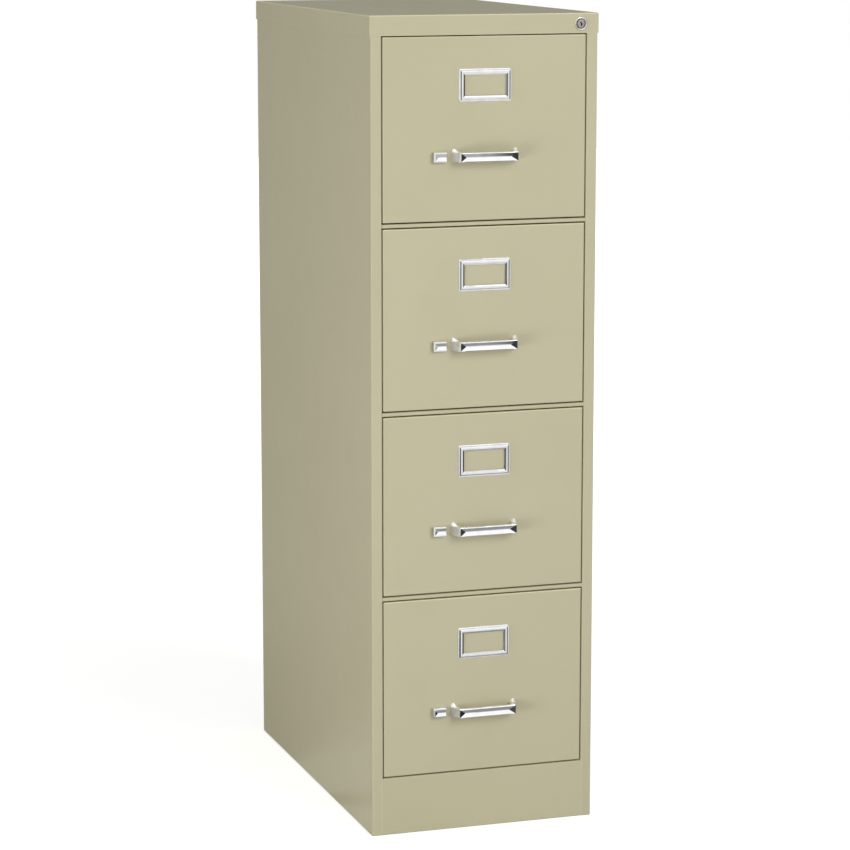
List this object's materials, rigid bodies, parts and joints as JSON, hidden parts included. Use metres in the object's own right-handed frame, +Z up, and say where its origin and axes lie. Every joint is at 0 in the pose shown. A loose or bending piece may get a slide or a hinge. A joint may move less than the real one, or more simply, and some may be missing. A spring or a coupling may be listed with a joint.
{
  "type": "vertical filing cabinet",
  "caption": "Tall painted steel filing cabinet with full-extension drawers, chrome bail handles, thumb latches, label holders and a gang lock in the top cover.",
  "frame": {"origin": "on the floor under the middle of the cabinet's bounding box, handles included", "axes": "+Z up, +X to the right of someone facing the drawers, drawers open towards -Y"},
  "size_m": [0.381, 0.696, 1.3208],
  "materials": {
    "case_paint": "satin",
    "front_paint": "satin",
    "inner_paint": "satin",
    "chrome": "polished",
    "zinc_steel": "satin",
    "lock_metal": "satin"
  },
  "bodies": {
    "case": {"left_side_panel": "case_paint", "right_side_panel": "case_paint", "back_panel": "case_paint", "top_cover": "case_paint", "plinth_front": "case_paint", "plinth_rear": "case_paint", "cross_rails": "case_paint", "top_rail": "inner_paint", "slide_uprights": "zinc_steel", "case_slide_members": "zinc_steel", "lock_housing": "chrome", "lock_nut": "zinc_steel", "lock_bar_guides": "zinc_steel"},
    "lock": {"lock_plug": "lock_metal", "lock_cam": "zinc_steel"},
    "lock_bar": {"lock_bar": "zinc_steel"},
    "drawer_1": {"drawer_1_front": "front_paint", "drawer_1_liner": "inner_paint", "drawer_1_tray": "inner_paint", "drawer_1_slide_members": "zinc_steel", "drawer_1_handle": "chrome", "drawer_1_handle_screws": "zinc_steel", "drawer_1_label_holder": "chrome"},
    "slides_1": {"drawer_1_slide_intermediates": "zinc_steel"},
    "latch_1": {"drawer_1_latch_button": "chrome", "drawer_1_latch_rod": "zinc_steel"},
    "follower_1": {"drawer_1_follower": "inner_paint"},
    "drawer_2": {"drawer_2_front": "front_paint", "drawer_2_liner": "inner_paint", "drawer_2_tray": "inner_paint", "drawer_2_slide_members": "zinc_steel", "drawer_2_handle": "chrome", "drawer_2_handle_screws": "zinc_steel", "drawer_2_label_holder": "chrome"},
    "slides_2": {"drawer_2_slide_intermediates": "zinc_steel"},
    "latch_2": {"drawer_2_latch_button": "chrome", "drawer_2_latch_rod": "zinc_steel"},
    "follower_2": {"drawer_2_follower": "inner_paint"},
    "drawer_3": {"drawer_3_front": "front_paint", "drawer_3_liner": "inner_paint", "drawer_3_tray": "inner_paint", "drawer_3_slide_members": "zinc_steel", "drawer_3_handle": "chrome", "drawer_3_handle_screws": "zinc_steel", "drawer_3_label_holder": "chrome"},
    "slides_3": {"drawer_3_slide_intermediates": "zinc_steel"},
    "latch_3": {"drawer_3_latch_button": "chrome", "drawer_3_latch_rod": "zinc_steel"},
    "follower_3": {"drawer_3_follower": "inner_paint"},
    "drawer_4": {"drawer_4_front": "front_paint", "drawer_4_liner": "inner_paint", "drawer_4_tray": "inner_paint", "drawer_4_slide_members": "zinc_steel", "drawer_4_handle": "chrome", "drawer_4_handle_screws": "zinc_steel", "drawer_4_label_holder": "chrome"},
    "slides_4": {"drawer_4_slide_intermediates": "zinc_steel"},
    "latch_4": {"drawer_4_latch_button": "chrome", "drawer_4_latch_rod": "zinc_steel"},
    "follower_4": {"drawer_4_follower": "inner_paint"}
  },
  "joints": [
    {"name": "drawer_1_slide", "type": "slide", "parent": "case", "child": "drawer_1", "axis": [0, -1, 0], "range_m": [0, 0.6]},
    {"name": "slides_1_travel", "type": "slide", "parent": "case", "child": "slides_1", "axis": [0, -1, 0], "range_m": [0, 0.3]},
    {"name": "latch_1_press", "type": "slide", "parent": "drawer_1", "child": "latch_1", "axis": [1, 0, 0], "range_m": [0, 0.008], "stiffness_N_per_m": 300, "springref_m": -0.005},
    {"name": "follower_1_slide", "type": "slide", "parent": "drawer_1", "child": "follower_1", "axis": [0, -1, 0], "range_m": [0, 0.45]},
    {"name": "drawer_2_slide", "type": "slide", "parent": "case", "child": "drawer_2", "axis": [0, -1, 0], "range_m": [0, 0.6]},
    {"name": "slides_2_travel", "type": "slide", "parent": "case", "child": "slides_2", "axis": [0, -1, 0], "range_m": [0, 0.3]},
    {"name": "latch_2_press", "type": "slide", "parent": "drawer_2", "child": "latch_2", "axis": [1, 0, 0], "range_m": [0, 0.008], "stiffness_N_per_m": 300, "springref_m": -0.005},
    {"name": "follower_2_slide", "type": "slide", "parent": "drawer_2", "child": "follower_2", "axis": [0, -1, 0], "range_m": [0, 0.45]},
    {"name": "drawer_3_slide", "type": "slide", "parent": "case", "child": "drawer_3", "axis": [0, -1, 0], "range_m": [0, 0.6]},
    {"name": "slides_3_travel", "type": "slide", "parent": "case", "child": "slides_3", "axis": [0, -1, 0], "range_m": [0, 0.3]},
    {"name": "latch_3_press", "type": "slide", "parent": "drawer_3", "child": "latch_3", "axis": [1, 0, 0], "range_m": [0, 0.008], "stiffness_N_per_m": 300, "springref_m": -0.005},
    {"name": "follower_3_slide", "type": "slide", "parent": "drawer_3", "child": "follower_3", "axis": [0, -1, 0], "range_m": [0, 0.45]},
    {"name": "drawer_4_slide", "type": "slide", "parent": "case", "child": "drawer_4", "axis": [0, -1, 0], "range_m": [0, 0.6]},
    {"name": "slides_4_travel", "type": "slide", "parent": "case", "child": "slides_4", "axis": [0, -1, 0], "range_m": [0, 0.3]},
    {"name": "latch_4_press", "type": "slide", "parent": "drawer_4", "child": "latch_4", "axis": [1, 0, 0], "range_m": [0, 0.008], "stiffness_N_per_m": 300, "springref_m": -0.005},
    {"name": "follower_4_slide", "type": "slide", "parent": "drawer_4", "child": "follower_4", "axis": [0, -1, 0], "range_m": [0, 0.45]},
    {"name": "lock_turn", "type": "hinge", "parent": "case", "child": "lock", "pos_m": [0.16, -0.31, 1.3035], "axis": [0, -1, 0], "range_deg": [0, 90]},
    {"name": "lock_bar_lift", "type": "slide", "parent": "case", "child": "lock_bar", "axis": [0, 0, 1], "range_m": [0, 0.0099]}
  ],
  "couplings": [
    {"joint": "slides_1_travel", "follows": "drawer_1_slide", "ratio": 0.5},
    {"joint": "slides_2_travel", "follows": "drawer_2_slide", "ratio": 0.5},
    {"joint": "slides_3_travel", "follows": "drawer_3_slide", "ratio": 0.5},
    {"joint": "slides_4_travel", "follows": "drawer_4_slide", "ratio": 0.5},
    {"joint": "lock_turn", "follows": "lock_bar_lift", "rad_per_m": 158.66}
  ]
}
